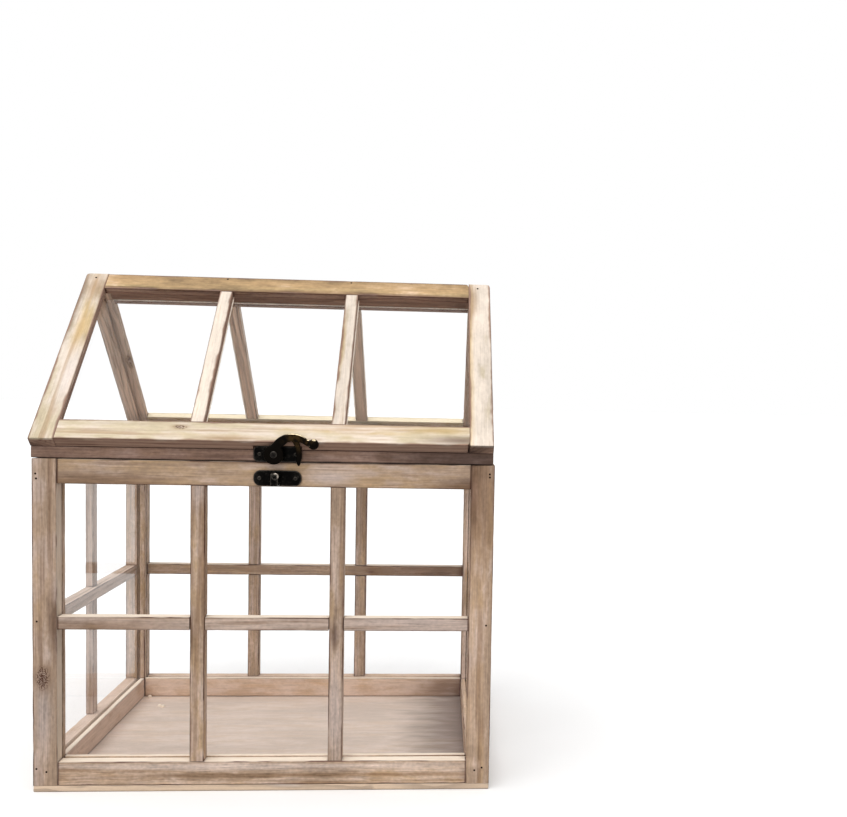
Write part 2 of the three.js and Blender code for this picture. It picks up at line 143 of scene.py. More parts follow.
def wood(name, heart, honey, wash, late, soot_and_shade, pale, bare=None, grainy=1.0, outline=0.5, seam=0.0):
    """Limed softwood, in the colours of its plain wood, its warm streaks, its limewash, its late wood, its
    grime and painted shade, its painted highlight on an edge, and of the faces that the brush missed. Each
    timber carries the marks that this reads: its lay, reach, tone, figure, light and luck, and where its knot
    and patches are."""
    material, start = blank(name)
    lay, reach, tone, figure, light, luck, knot = (
        start.node("Attribute", output="Vector", attribute_name=mark)
        for mark in ("lay", "reach", "tone", "figure", "light", "luck", "knot")
    )
    honey_push, wash_push, smoke_push = tone.parts()
    figured, ring_width, clean_and_unshaded = figure.parts()
    highlight_share, highlight_side, highlight_part = light.parts()
    along, across, out = lay.parts()
    gap_along, gap_across, gap_out = (
        size - value.maths("ABSOLUTE", value) for size, value in zip(reach.parts(), (along, across, out))
    )
    place = lay.vectors("ADD", lay, luck)
    drift = place.streaks((13, 45, 45), 1.0)
    cloud = place.streaks((60, 160, 160), 2.0)
    broad = place.streaks((9, 230, 230), 1.0)
    band = place.streaks((14, 480, 480), 2.0)
    fibre = place.streaks((42, 1250, 1250), 3.0)
    hair = place.streaks((130, 2300, 2300), 2.0)
    mottle = place.streaks((420, 700, 700), 3.0)

    # Growth rings about a heart that lies off the piece; they swing round a knot
    knot_away = knot.node("VectorMath", {0: knot}, "Value", operation="LENGTH")
    swing = (1 - knot_away.rise(0.0, 4.0)) * knot.parts()[1] * 0.0008
    side = across + (luck.parts()[0] - 0.5) * 0.05 + (drift - 0.5) * 0.012 + swing
    heartward = out + 0.014 + luck.parts()[1] * 0.02
    radius = (side * side + heartward * heartward).maths("SQRT", side * side + heartward * heartward)
    turns = radius / ring_width + cloud * 0.7
    ring = turns.maths("FRACT", turns)
    late_wood = ring.rise(0.3, 0.9) * (1 - ring.rise(0.92, 1.0))

    honeyed = (broad * 0.4 + drift * 0.5 + mottle * 0.1 + honey_push * 0.1).rise(0.42, 0.6)
    washed = (cloud * 0.45 + band * 0.1 + drift * 0.35 + mottle * 0.1 + wash_push * 0.1).rise(0.43, 0.6)
    smoked = (band * 0.4 + broad * 0.35 + cloud * 0.25 + smoke_push * 0.1).rise(0.48, 0.62)
    colour = start.node("Mix", {0: honeyed * 0.85, 6: heart, 7: honey}, 2, data_type="RGBA")
    colour = colour.coat(late, late_wood * figured)
    colour = colour.coat(wash, washed * 0.7)
    colour = colour.coat(late, smoked * 0.65)
    ragged = (band + cloud - 1) * (0.9 - clean_and_unshaded * 0.5)
    for patch, paint_of, share in (("spot", honey, 0.8), ("bloom", wash, 0.9), ("smudge", late, 0.7),
                                   ("stain", soot_and_shade, 0.7)):
        away = start.node("Attribute", output="Vector", attribute_name=patch)
        away = away.node("VectorMath", {0: away}, "Value", operation="LENGTH")
        colour = colour.coat(paint_of, (1 - (away + ragged).rise(0.1, 1.2)) * share)
    if bare:
        brushed = (out - reach.parts()[2]).rise(-0.0018, -0.0006)
        brushed = brushed * (gap_across + (cloud - 0.6) * 0.004).rise(-0.0004, 0.001)
        under = start.node("Mix", {0: late_wood * 0.3 + smoked * 0.5, 6: bare, 7: soot_and_shade}, 2, data_type="RGBA")
        colour = under.coat(colour, brushed)
    uneven = fibre * 0.8 + hair * 0.5 + mottle * 0.6 - 0.95
    worn_in = (broad * 0.6 + cloud + drift * 1.2 - 1.4) * 0.65
    shade = 1 + (uneven * grainy + worn_in) * (1 - clean_and_unshaded * 0.7)
    colour = colour.node("VectorMath", {0: colour, "Scale": shade}, operation="SCALE")

    # Knot, then the painted highlight on the edge that faces the light, the darker arrises, and the painted
    # shade in crevices with the dark joint lines at the ends
    rough_away = knot_away + (cloud - 0.5) * 0.8 + (fibre - 0.5) * 0.5
    flecks = place.streaks((1100, 1500, 1500), 2.0)
    whorl = (rough_away * 13).maths("SINE", rough_away * 13)
    colour = colour.coat(late, (1 - rough_away.rise(0.8, 2.0)) * 0.4)
    colour = colour.coat(wash, (1 - rough_away.rise(0.3, 0.8)) * 0.2)
    colour = colour.coat(soot_and_shade, (1 - rough_away.rise(0.7, 1.25)) * (
        flecks.rise(0.47, 0.54) * 0.85 + whorl.rise(0.5, 1.0) * 0.4))
    colour = colour.coat(soot_and_shade, (1 - rough_away.rise(0.1, 0.55)) * flecks.rise(0.38, 0.5))
    # The edge is a painted highlight: a lighter strip on the edge or face of a piece that looks towards the
    # light.
    edge = (across * highlight_side - reach.parts()[1]).rise(-0.0004, -0.0001)
    edge = edge * (out * highlight_part + highlight_part * (1 - highlight_part) * 0.0021 + 0.0012).rise(0.0, 0.0008)
    colour = colour.coat(pale, edge * highlight_share * (0.6 + cloud * 0.6))
    near = [1 - gap.rise(0.0001, 0.0009) for gap in (gap_along, gap_across, gap_out)]
    arris = near[0].maths("MAXIMUM", near[0] * near[1], near[1] * near[2])
    colour = colour.coat(soot_and_shade, arris * (0.35 + (fibre + cloud).rise(0.9, 1.15)) * (1 - clean_and_unshaded * 0.6) * outline)
    # Painted shade: the wood is darkened where ambient occlusion finds a crevice between parts.
    painted_crevice_shade = 1 - start.node("AmbientOcclusion", {"Distance": 0.0025}, "AO", samples=8)
    crevice_shade_and_joint_dirt = painted_crevice_shade.rise(0.15, 0.7) * (1 - clean_and_unshaded * 0.6)
    if seam:
        ends = (1 - gap_along.rise(0.0, 0.006)) * cloud.rise(0.4, 0.62) * 0.45
        ends = ends.maths("MAXIMUM", ends, (1 - gap_along.rise(0.0004, 0.0011)) * seam)
        crevice_shade_and_joint_dirt = crevice_shade_and_joint_dirt.maths("MAXIMUM", crevice_shade_and_joint_dirt, ends)
    colour = colour.coat(soot_and_shade, crevice_shade_and_joint_dirt * (0.85 - edge * highlight_share * 0.4))

    height = fibre * 0.5 + hair * 0.25 - late_wood * 0.4
    bump = start.node("Bump", {"Height": height, "Strength": 0.5, "Distance": 0.0004})
    shader = start.node("BsdfPrincipled", {
        "Base Color": colour, "Roughness": 0.66 + washed * 0.16 + fibre * 0.12, "Normal": bump,
        "Specular IOR Level": 0.3,
    })
    start.node("OutputMaterial", {"Surface": shader})
    return material


NOWHERE = (60.0, 60.0, 60.0)


def eased(node, sizes, sharp=0.3):
    """The CAD node's mesh with its sharp arrises taken off, each group of them by a size of its own. A group
    is a size in mm and a test of an arris's direction and middle."""
    block = bmesh.new()
    block.from_mesh(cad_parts[node].data)
    bmesh.ops.remove_doubles(block, verts=block.verts, dist=1e-6)
    bmesh.ops.dissolve_limit(block, angle_limit=0.01, verts=block.verts, edges=block.edges)
    for size, chosen in sizes:
        arrises = [edge for edge in block.edges if edge.calc_face_angle(0.0) > sharp and chosen(
            (edge.verts[1].co - edge.verts[0].co).normalized(), (edge.verts[0].co + edge.verts[1].co) / 2)]
        bmesh.ops.bevel(block, geom=arrises, offset=size * MM, segments=2, profile=0.55, affect="EDGES",
                        clamp_overlap=True)
    return block


def timber(node, body, slot, finish, along, out, honey=0.0, wash=0.0, smoke=0.0, figured=0.25, ring_width=2.3,
           clean_and_unshaded=0.0, pale=(0, 1, 0), ease=0.6, end_ease=0.4, worn_side=None, worn_ease=1.2, corner_ease=None,
           fill=0.0, slice_length=4.0, **patches):
    """Works a CAD timber up: arrises eased and dented, faces a hair out of true, and the marks its finish
    reads. The arrises on worn_side are rounder, and its corner at the far end may be too. Ends may be let out
    by fill to close their joints. Pale is how strongly one edge is lightened as a painted highlight, which
    side it is on, and whether that is its outer part, its inner or both. Patches are a knot, a honey spot, a
    bloom of lime, a smudge and a stain. Each is its middle in the row frame and its three radii along, across
    and out of the piece, in mm."""
    along, out = Vector(along).normalized(), Vector(out).normalized()
    axes = Matrix((along, out.cross(along), out))
    corners = [vert.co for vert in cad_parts[node].data.vertices]
    touch = 0.1 * MM
    edge_of_wear = max(corner.dot(worn_side) for corner in corners) - touch if worn_side else math.inf

    def runs_along(direction):
        return abs(direction.dot(along)) > 0.9

    def worn(middle):
        return worn_side is not None and middle.dot(worn_side) > edge_of_wear

    far_end = max(corner.dot(along) for corner in corners) - touch
    block = eased(node, (
        (corner_ease or end_ease, lambda direction, middle: abs(direction.dot(out)) > 0.9 and worn(middle)
         and middle.dot(along) > far_end),
        (worn_ease, lambda direction, middle: runs_along(direction) and worn(middle)),
        (ease, lambda direction, middle: runs_along(direction) and not worn(middle)),
        (end_ease, lambda direction, middle: abs(direction.dot(along)) < 0.1),
    ))
    places = [axes @ vert.co for vert in block.verts]
    low, high = (Vector([pick(place[axis] for place in places) for axis in range(3)]) for pick in (min, max))
    middle, reach = (low + high) / 2, (high - low) / 2
    if fill:
        for vert in block.verts:
            gap = reach.x - abs((axes @ vert.co - middle).x)
            if gap < 2 * end_ease * MM:
                vert.co += along * math.copysign(fill * MM, (axes @ vert.co - middle).x)
    cuts = max(2, round(2 * reach.x / (slice_length * MM)))
    for cut in range(1, cuts):
        bmesh.ops.bisect_plane(block, geom=block.verts[:] + block.edges[:] + block.faces[:],
                               plane_co=along * (low.x + 2 * reach.x * cut / cuts), plane_no=along)
    chance = random.Random(node)
    luck = Vector([chance.uniform(0, 1) for axis in range(3)])
    own_place = luck * 19
    by_arris = 1.3 * ease * MM
    lay = []
    for vert in block.verts:
        place = axes @ vert.co - middle
        lay.append(place)
        gaps = [size - abs(value) for size, value in zip(reach, place)]
        sway = noise.noise_vector(place * 26 + own_place) * 0.06 * MM
        if sorted(gaps)[1] < by_arris:
            dent = max(0.0, noise.noise(place * 150 + own_place) - 0.12)
            dent += max(0.0, noise.noise(place * 45 - own_place) - 0.3)
            sway -= Vector([math.copysign(dent * 0.45 * ease * MM, value) if gap < by_arris else 0
                            for gap, value in zip(gaps, place)])
        inward = [min(value, 0) if side > 0 else max(value, 0) for value, side in zip(sway, place)]
        vert.co += axes.transposed() @ Vector(inward)
    mesh = finished(block, node + "_timber")
    marks = {"lay": lay}
    for mark, value in (("reach", reach), ("tone", Vector((honey, wash, smoke))), ("luck", luck),
                        ("figure", Vector((figured, ring_width * MM, clean_and_unshaded))), ("light", Vector(pale))):
        marks[mark] = [value] * len(lay)
    for mark in ("knot", "spot", "bloom", "smudge", "stain"):
        given = patches.get(mark)
        centre = axes @ (Vector(given[0]) * MM) - middle if given else Vector(NOWHERE)
        radii = Vector(given[1]) * MM if given else Vector((1, 1, 1))
        marks[mark] = [Vector([value / size for value, size in zip(place - centre, radii)]) for place in lay]
    for mark, values in marks.items():
        attribute = mesh.attributes.new(mark, "FLOAT_VECTOR", "POINT")
        attribute.data.foreach_set("vector", [number for value in values for number in value])
    return fitted(mesh, node, body, slot, finish)


def finished(work, name):
    """The mesh that was worked on, under its name."""
    mesh = bpy.data.meshes.new(name)
    work.to_mesh(mesh)
    work.free()
    return mesh


def fixed(mesh, body, slot, *finishes):
    """Gives a mesh its finishes and fixes it to a body."""
    for finish in finishes:
        mesh.materials.append(finish)
    mesh.polygons.foreach_set("use_smooth", [True] * len(mesh.polygons))
    made = bpy.data.objects.new(mesh.name, mesh)
    bpy.context.scene.collection.objects.link(made)
    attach(made, body)
    return made


def fitted(mesh, node, body, slot, *finishes):
    """Puts a made mesh in the place of its CAD node."""
    made = fixed(mesh, body, slot, *finishes)
    trued = made.modifiers.new("true_normals", "WEIGHTED_NORMAL")
    trued.keep_sharp = False
    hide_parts(node)
    return made


X, Y, Z = Vector((1, 0, 0)), Vector((0, 1, 0)), Vector((0, 0, 1))
BOARD = wood("base_softwood", heart=paint(222, 204, 190), honey=paint(224, 202, 182),
             wash=paint(228, 212, 202), late=paint(208, 188, 172), soot_and_shade=paint(62, 40, 40),
             pale=paint(232, 206, 178), bare=paint(238, 210, 182), grainy=0.9, outline=0.3)
# The board is darker towards its right back corner.
timber("base_board", "box", "weathered_wood", BOARD, X, Z, ease=0.45, end_ease=0.8, clean_and_unshaded=1.0, slice_length=7,
       figured=0.03, smoke=-0.5, stain=((114, 25, 3), (46, 190, 30)))


# Corner posts
# Half-inch square softwood, planed and limed. Each is grooved on two faces for the panes, and glued and
# pinned to the rails. The left front one has a knot, and the right front one is darker at the top.

# Pale is the colour of the painted highlight on edges that face the light.
LIMED_COLOURS = dict(heart=paint(192, 163, 139), honey=paint(194, 161, 124), wash=paint(208, 187, 176),
                     late=paint(134, 104, 80), soot_and_shade=paint(76, 46, 32), pale=paint(252, 236, 216))
LIMED = wood("limed_softwood", outline=0.85, **LIMED_COLOURS)
timber("front_left_post", "box", "weathered_wood", LIMED, Z, -Y, honey=-0.4, figured=0.08, clean_and_unshaded=0.25,
       pale=(0.6, -1, 1), end_ease=0.2, worn_side=-X, worn_ease=0.9,
       knot=((-116.9, -89, 62.3), (6.2, 3.2, 6.0)), stain=((-110, -88, 92), (26, 5, 8)),
       bloom=((-117, -88, 40), (30, 6, 8)))
timber("front_right_post", "box", "weathered_wood", LIMED, Z, -Y, honey=-0.2, wash=-0.2, figured=0.08,
       clean_and_unshaded=0.3, end_ease=0.2, worn_side=X, worn_ease=0.9, stain=((109, -88, 166), (34, 7, 9)),
       smudge=((115, -90, 166), (60, 14, 9)))
timber("back_left_post", "box", "weathered_wood", LIMED, Z, Y, worn_side=-X)
timber("back_right_post", "box", "weathered_wood", LIMED, Z, Y, worn_side=X)


# Wall rails
# Grooved softwood rails between the posts, one under and one over each pane, hold it by its long edges. The
# front top rail is the warmest piece of the box, and the front bottom rail is striped.

LIMED_RAIL = wood("limed_rail_softwood", outline=0.85, seam=0.95, **LIMED_COLOURS)
PLANED = wood("planed_softwood", outline=0.8, seam=0.9, heart=paint(214, 183, 157),
              honey=paint(212, 178, 142), wash=paint(226, 204, 190), late=paint(150, 116, 84),
              soot_and_shade=paint(92, 62, 58), pale=paint(252, 236, 216))
WALLS = {"front": (X, -Y), "back": (-X, Y), "left": (-Y, -X), "right": (Y, X)}
# Pieces seen from inside get less of the painted crevice shade and the darker arrises, and a painted
# highlight on the inner part of their top edge.
INSIDE = dict(smoke=-1, honey=-0.5, figured=0.05, clean_and_unshaded=0.85, pale=(1, 1, -1))
TOP_LOOKS = {
    "front": dict(honey=0.4, wash=-0.2, figured=0.1, clean_and_unshaded=0.3, pale=(0.6, 1, 1),
                  # The front top rail is darker at its right end, where it meets the right front post.
                  stain=((108, -88, 168), (26, 6, 6)), smudge=((-88, -88, 170), (44, 4, 8)),
                  bloom=((34, -87, 172), (16, 5, 8))),
}
BOTTOM_LOOKS = {
    "front": dict(figured=0.35, ring_width=1.7, pale=(1, 1, 0), smudge=((0, -89, 8.6), (150, 1.7, 9)),
                  bloom=((-10, -89, 13.4), (140, 2.6, 9))),
    # The back bottom rail is darker towards its right end, by the right back corner.
    "back": dict(stain=((122, 81, 8), (56, 16, 14)), **INSIDE),
    "left": dict(wash=1.5, **INSIDE),
    "right": dict(smoke=0.5, wash=0.2, pale=(0.1, 1, -1)),
}
for side, (along, out) in WALLS.items():
    timber(side + "_top_rail", "box", "weathered_wood", LIMED_RAIL, along, out, end_ease=0.5,
           **TOP_LOOKS.get(side, {}))
    timber(side + "_bottom_rail", "box", "weathered_wood", PLANED, along, out, end_ease=0.5,
           **BOTTOM_LOOKS[side])


# Crossbars and uprights
# Thin softwood glazing bars planted on the panes, one crossbar to a wall, with two uprights at the front and
# the back and one at each side. They are half-lapped where they cross.

BAR_LOOKS = {
    "front_crossbar": dict(pale=(1, 1, 0), wash=1.2, smoke=-0.4, clean_and_unshaded=0.2,
                           smudge=((-84, -87, 90), (52, 6, 7)), bloom=((84, -87, 95), (60, 8, 9))),
    "back_crossbar": dict(pale=(0.6, 1, 0), wash=-0.5, smoke=0.8, knot=((45, 90, 92), (4, 2.4, 6)),
                          stain=((92, 90, 92), (70, 9, 9)), smudge=((76, 90, 92), (70, 9, 9))),
    "left_crossbar": dict(pale=(0.1, 1, 0), wash=0.9, clean_and_unshaded=0.5),
    "left_upright": dict(wash=1.2, smoke=0.4, clean_and_unshaded=0.5),
    "back_upright_1": dict(smoke=0.4),
    "back_upright_2": dict(smoke=0.4),
    "front_upright_1": dict(wash=-0.2, smoke=0.4, stain=((-40, -87, 88), (18, 2.6, 9)),
                            smudge=((-33, -87, 120), (44, 2, 9)), bloom=((-36, -87, 163), (12, 5, 8))),
    "front_upright_2": dict(wash=0.3, stain=((37, -87, 86), (9, 3.4, 8)), bloom=((38, -88, 40), (30, 6, 8))),
}
for side, (along, out) in WALLS.items():
    timber(side + "_crossbar", "box", "weathered_wood", LIMED_RAIL, along, out, ease=0.35, figured=0.08,
           **BAR_LOOKS.get(side + "_crossbar", dict(pale=(0.4, 1, 0))))
    uprights = ("_upright_1", "_upright_2") if side in ("front", "back") else ("_upright",)
    for upright in uprights:
        timber(side + upright, "box", "weathered_wood", LIMED, Z, out, ease=0.4, figured=0.1,
               **BAR_LOOKS.get(side + upright, {}))


# Brads
# Thin pins of blued steel, driven through the front posts into the rails and the crossbar. Their small dark
# heads stand a hair proud of the wood.

def metal(name, dark, brown, bright, worn, shine, wear_and_glint_place=(0, 0, 0), reach=0.0, elsewhere=1.0, shoulder_highlight=0.0):
    """Patinated metal, worn bright where it stands proud, with painted glints there, and most of all within a
    reach of a place in mm.
    A painted highlight can also run along its upper shoulder, on the faces that look up and to the front."""
    material, start = blank(name)
    place = start.node("TexCoord", output="Object")
    blotches = start.node("TexNoise", {"Vector": place, "Scale": 260.0, "Detail": 5.0}, "Fac")
    grit = start.node("TexNoise", {"Vector": place, "Scale": 1500.0, "Detail": 3.0}, "Fac")
    proud = start.node("NewGeometry", output="Pointiness")
    away = place.node("VectorMath", {0: place, 1: [value * MM for value in wear_and_glint_place]}, "Value",
                      operation="DISTANCE")
    near = 1 - away.rise(reach * 0.5 * MM, (reach * 1.1 + 0.001) * MM)
    # Wear and painted glints: proud edges are lightened, most of all near the given place.
    wear_and_glints = (proud + (grit - 0.5) * 0.06 + (blotches - 0.5) * 0.04).rise(worn, worn + 0.05)
    if shoulder_highlight:
        # The shoulder is a painted highlight, picked by the way the face looks.
        facing = start.node("TexCoord", output="Normal")
        shoulder = facing.node("VectorMath", {0: facing, 1: (0.14, -0.61, 0.78)}, "Value",
                               operation="DOT_PRODUCT")
        shoulder = shoulder.rise(0.91, 0.99) * (blotches + grit).rise(0.7, 1.05) * shoulder_highlight
        wear_and_glints = wear_and_glints.maths("MAXIMUM", wear_and_glints * 0.5, shoulder)
    wear_and_glint_share = near * (1 - elsewhere) + elsewhere
    wear_and_glints = wear_and_glints * wear_and_glint_share
    aged = (blotches * 0.7 + grit * 0.3).rise(0.42, 0.62) * wear_and_glint_share
    colour = start.node("Mix", {0: aged, 6: dark, 7: brown}, 2, data_type="RGBA")
    colour = colour.coat(bright, wear_and_glints)
    bump = start.node("Bump", {"Height": blotches * 0.6 + grit * 0.4, "Strength": 0.5, "Distance": 0.0003})
    shader = start.node("BsdfPrincipled", {
        "Base Color": colour, "Metallic": 0.95, "Normal": bump,
        "Roughness": shine + blotches * 0.15 + grit * 0.1,
    })
    start.node("OutputMaterial", {"Surface": shader})
    return material


def skinned(work, loops):
    """Joins loops of points, each as long as the next, into a closed skin."""
    for lower, upper in zip(loops, loops[1:]):
        for step in range(len(lower)):
            after = (step + 1) % len(lower)
            work.faces.new((lower[step], lower[after], upper[after], upper[step]))
    work.faces.new(loops[-1])
    work.faces.new(loops[0][::-1])


DOME = ((1, 0.1), (0.9, 0.45), (0.7, 0.75), (0.4, 0.94), (0.12, 1))


def studs(name, body, heads, finish, radius, dome, shape=DOME, nick=0.0, slot="aged_bronze"):
    """Heads of pins, nails or screws, each with its foot at a place in mm, looking along a direction. A shape
    is its outline in shares of the radius and of the dome. A screw's nick is cut to a depth in mm."""
    steps = 24
    sunk = 0.5
    work = bmesh.new()
    for number, (centre, facing) in enumerate(heads):
        head = bmesh.new()
        outline = [(radius, -sunk)] + [(radius * wide, dome * tall) for wide, tall in shape]
        turns = [step * math.tau / steps for step in range(steps)]
        skinned(head, [[head.verts.new((size * math.cos(turn), size * math.sin(turn), level))
                        for turn in turns] for size, level in outline])
        if nick:
            half = radius * 0.16
            across = Vector((math.cos(number + 0.3), math.sin(number + 0.3), 0))
            for offset in (-half, -half * 0.7, half * 0.7, half):
                bmesh.ops.bisect_plane(head, geom=head.verts[:] + head.edges[:] + head.faces[:],
                                       plane_co=across * offset, plane_no=across)
            for vert in head.verts:
                if abs(vert.co.dot(across)) < half * 0.8 and vert.co.z > 0:
                    vert.co.z = max(0.02, vert.co.z - nick)
        turn = Vector(facing).to_track_quat("Z", "Y").to_matrix().to_4x4()
        head.transform(Matrix.Translation(Vector(centre) * MM) @ turn @ Matrix.Scale(MM, 4))
        single = finished(head, name + "_head")
        work.from_mesh(single)
        bpy.data.meshes.remove(single)
    return fixed(finished(work, name), body, slot, finish)


BLUED = metal("blued_steel", paint(34, 26, 22), paint(52, 38, 30), paint(96, 84, 72), worn=0.56, shine=0.4)
FRONT_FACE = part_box("front_left_post")[0].y / MM
BRADS = ((-120.5, 12.7), (-115.3, 11), (114.6, 10.7), (118.7, 12.2), (120, 175.2), (120.1, 173.5),
         (-120.4, 171.9), (-120, 169.3), (-120, 92.8), (119.6, 91.8))
studs("post_brads", "box", [((x, FRONT_FACE, z), -Y) for x, z in BRADS], BLUED, radius=0.55, dome=0.12)


# Wall panes
# Single sheets of clear float glass with seamed edges. Each lies loose in the grooves of its posts and rails,
# and the side ones catch more of the light.

def glass(name, tint, shine, dust):
    """Clear to look through, with a share of a pane's true shine and a bloom of dust."""
    material, start = blank(name)
    specks = start.node("TexNoise", {"Vector": start.node("TexCoord", output="Object"), "Scale": 160.0,
                                     "Detail": 4.0}, "Fac")
    film = start.node("BsdfPrincipled", {"Base Color": tint, "Roughness": 0.3 + specks * 0.2})
    mirror = start.node("BsdfGlossy", {"Color": (1.0, 1.0, 1.0, 1.0), "Roughness": 0.03})
    clear = start.node("BsdfTransparent", {"Color": (1.0, 1.0, 1.0, 1.0)})
    entering = 1 - start.node("NewGeometry", output="Backfacing")
    surface = start.node("MixShader", {0: specks.rise(0.45, 0.75) * dust, 1: clear, 2: film})
    shader = start.node("MixShader", {0: start.node("Fresnel", {"IOR": 1.45}) * entering * shine, 1: surface,
                                      2: mirror})
    start.node("OutputMaterial", {"Surface": shader})
    return material


PANE_FACE = glass("clear_glass", paint(244, 250, 247), shine=0.25, dust=0.006)
SIDE_PANE_FACE = glass("clear_glass_to_the_side", paint(244, 250, 247), shine=0.8, dust=0.01)
PANE_EDGE = glass("ground_glass_edge", paint(226, 230, 224), shine=0.5, dust=0.12)


def glazing(node, body, face_glass=PANE_FACE):
    """Seams the edges of a CAD pane and grinds all of it but its two faces."""
    pane = eased(node, [(0.2, lambda direction, middle: True)])
    for face in sorted(pane.faces, key=lambda face: face.calc_area())[:-2]:
        face.material_index = 1
    made = fitted(finished(pane, node + "_glass"), node, body, "clear_glass", face_glass, PANE_EDGE)
    made.visible_shadow = False
    return made


for side in WALLS:
    glazing(side + "_pane", "box", PANE_FACE if side in ("front", "back") else SIDE_PANE_FACE)


# Lid ring
# Four softwood rails joined at the corners into a frame that sits on the box and carries the roof. They were
# stained darker than the box, and the front one is darkest at its right end.

SMOKED = wood("smoked_softwood", heart=paint(150, 120, 103), honey=paint(156, 122, 100),
              wash=paint(168, 142, 130), late=paint(104, 78, 66), soot_and_shade=paint(54, 38, 34),
              pale=paint(170, 148, 136))
for side, (along, out) in WALLS.items():
    stain = dict(stain=((104, -89, 184), (60, 16, 16))) if side == "front" else {}
    timber(f"lid_{side}_rail", "lid", "dark_wood", SMOKED, along, out, **stain)


# Gable panes
# Triangles of the same glass fill the ends of the roof. They stand on the side rails of the ring, between the
# two slopes.

for side in ("left", "right"):
    glazing(side + "_gable_pane", "lid")


# Roof slopes
# Each slope is a softwood frame of two rafters, a ridge rail and an eave rail, rebated underneath for its
# pane, with two bars planted on the glass. Outside it is limewashed nearly white; its undersides are bare,
# except on the back eave rail, whose underside keeps the pale limewash colours as painted light on a face in
# shade.

BRUSHED_COLOURS = dict(heart=paint(218, 201, 170), honey=paint(200, 170, 118), wash=paint(231, 217, 207),
                       late=paint(164, 132, 96), soot_and_shade=paint(84, 56, 42), pale=paint(240, 226, 196),
                       grainy=0.55, outline=0.6)
BRUSHED = wood("limewashed_softwood", bare=paint(162, 131, 113), **BRUSHED_COLOURS)
BRUSHED_BACK = wood("limewashed_softwood_at_the_back", bare=paint(222, 192, 168), **BRUSHED_COLOURS)
# The same limewash with no bare colour, so its undersides stay pale: painted light on faces in shade.
BRUSHED_WITH_PAINTED_LIGHT_UNDER = wood("limewashed_softwood_with_painted_light_under", **BRUSHED_COLOURS)
SLOPE = math.sqrt(0.5)
ROOF_LOOKS = {
    "front_left_rafter": dict(honey=-0.7, wash=0.3, figured=0.05, clean_and_unshaded=0.3,
                              spot=((-113, -32, 253), (26, 7, 20)), bloom=((-113, -60, 224), (32, 6, 8)),
                              smudge=((-114, -7, 278), (17, 9, 9)),
                              stain=((-122.5, -17, 271), (50, 3.6, 12))),
    "front_right_rafter": dict(wash=1.6, honey=-1.5, smoke=-1, figured=0.05, clean_and_unshaded=0.3,
                               spot=((108.2, -47, 238), (150, 3.8, 9)),
                               smudge=((110, -12, 274), (30, 5, 9))),
    # The stain along the lower edge of the front ridge rail is painted shade, as dark as the underside of the
    # ridge.
    "front_ridge_rail": dict(honey=2.5, wash=-0.8, smoke=0.8, figured=0.2, clean_and_unshaded=-1.0,
                             smudge=((0, 1.4, 286), (400, 9, 9)), stain=((0, -5.3, 276.7), (240, 2.2, 6))),
    "front_eave_rail": dict(honey=-0.6, wash=0.2, figured=0.04, clean_and_unshaded=0.6,
                            knot=((-46, -87, 198), (3.6, 1.4, 9)), spot=((92, -86, 198), (30, 3, 9)),
                            smudge=((-20, -92, 192), (22, 3, 9)), stain=((104, -91, 193), (26, 4, 9))),
    "front_roof_bar_1": dict(wash=2.0, smoke=-0.8, honey=-1.5, figured=0.04, clean_and_unshaded=0.3),
    "front_roof_bar_2": dict(wash=1.4, smoke=-1, honey=-0.4, figured=0.05, clean_and_unshaded=0.3,
                             spot=((34.4, -36, 247), (34, 2.6, 9))),
    # The back eave rail's inner edge face, which looks up to the ridge, gets a painted highlight.
    "back_eave_rail": dict(pale=(1, -1, 0)),
    "back_left_rafter": dict(wash=0.4, clean_and_unshaded=0.5),
    "back_right_rafter": dict(wash=0.8, clean_and_unshaded=0.4, knot=((-110.5, 46, 233), (6, 2.6, 6)),
                              smudge=((-110.5, 60, 219), (24, 2.6, 9))),
}
for side, facing in (("front", -1), ("back", 1)):
    up = Vector((0, -facing, 1)) * SLOPE
    out = Vector((0, facing, 1)) * SLOPE
    runs = {"_left_rafter": (up, X * facing), "_right_rafter": (up, X * -facing), "_ridge_rail": (X, up),
            "_eave_rail": (X, -up), "_roof_bar_1": (up, None), "_roof_bar_2": (up, None)}
    for part, (along, worn_side) in runs.items():
        finish = BRUSHED if side == "front" or "ridge" in part else BRUSHED_BACK
        if side + part == "back_eave_rail":
            finish = BRUSHED_WITH_PAINTED_LIGHT_UNDER
        timber(side + part, "lid", "limewashed_wood", finish, along, out, end_ease=0.12, ease=0.35,
               worn_side=worn_side, worn_ease=0.5 if "eave" in part else 1.5, corner_ease=2.2,
               fill=0.0 if "rafter" in part else 0.27, **ROOF_LOOKS.get(side + part, {}))
    glazing(side + "_roof_pane", "lid")


# Roof brads
# The same blued pins are driven down through the tops of the front rafters, and through the ridge rail above
# the two bars.

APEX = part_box("front_ridge_rail")[1].z / MM
MIDDLE = (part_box("back_eave_rail")[1].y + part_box("front_eave_rail")[0].y) / MM / 2


def on_slope(facing, x, down, deep):
    """A place on the front (-1) or back (1) slope, so far down from the apex and so deep under its face."""
    return Vector((x, MIDDLE + facing * (down - deep) * SLOPE, APEX - (down + deep) * SLOPE))


ROOF_BRADS = ((-116.5, 3.8), (114.2, 4.0), (-38.6, 1.8), (36.3, 1.9))
heads = [(on_slope(-1, x, down, 0), Z - Y) for x, down in ROOF_BRADS]
studs("roof_brads", "lid", heads, BLUED, radius=0.6, dome=0.12)


# Glazing beads
# Thin beads of pale glazing compound, run by hand along the top edge of each roof pane and down both sides of
# the bars, where they bed on the glass. They are coloured near white so that they also show the light caught
# along the glass edges there: partly a painted highlight.

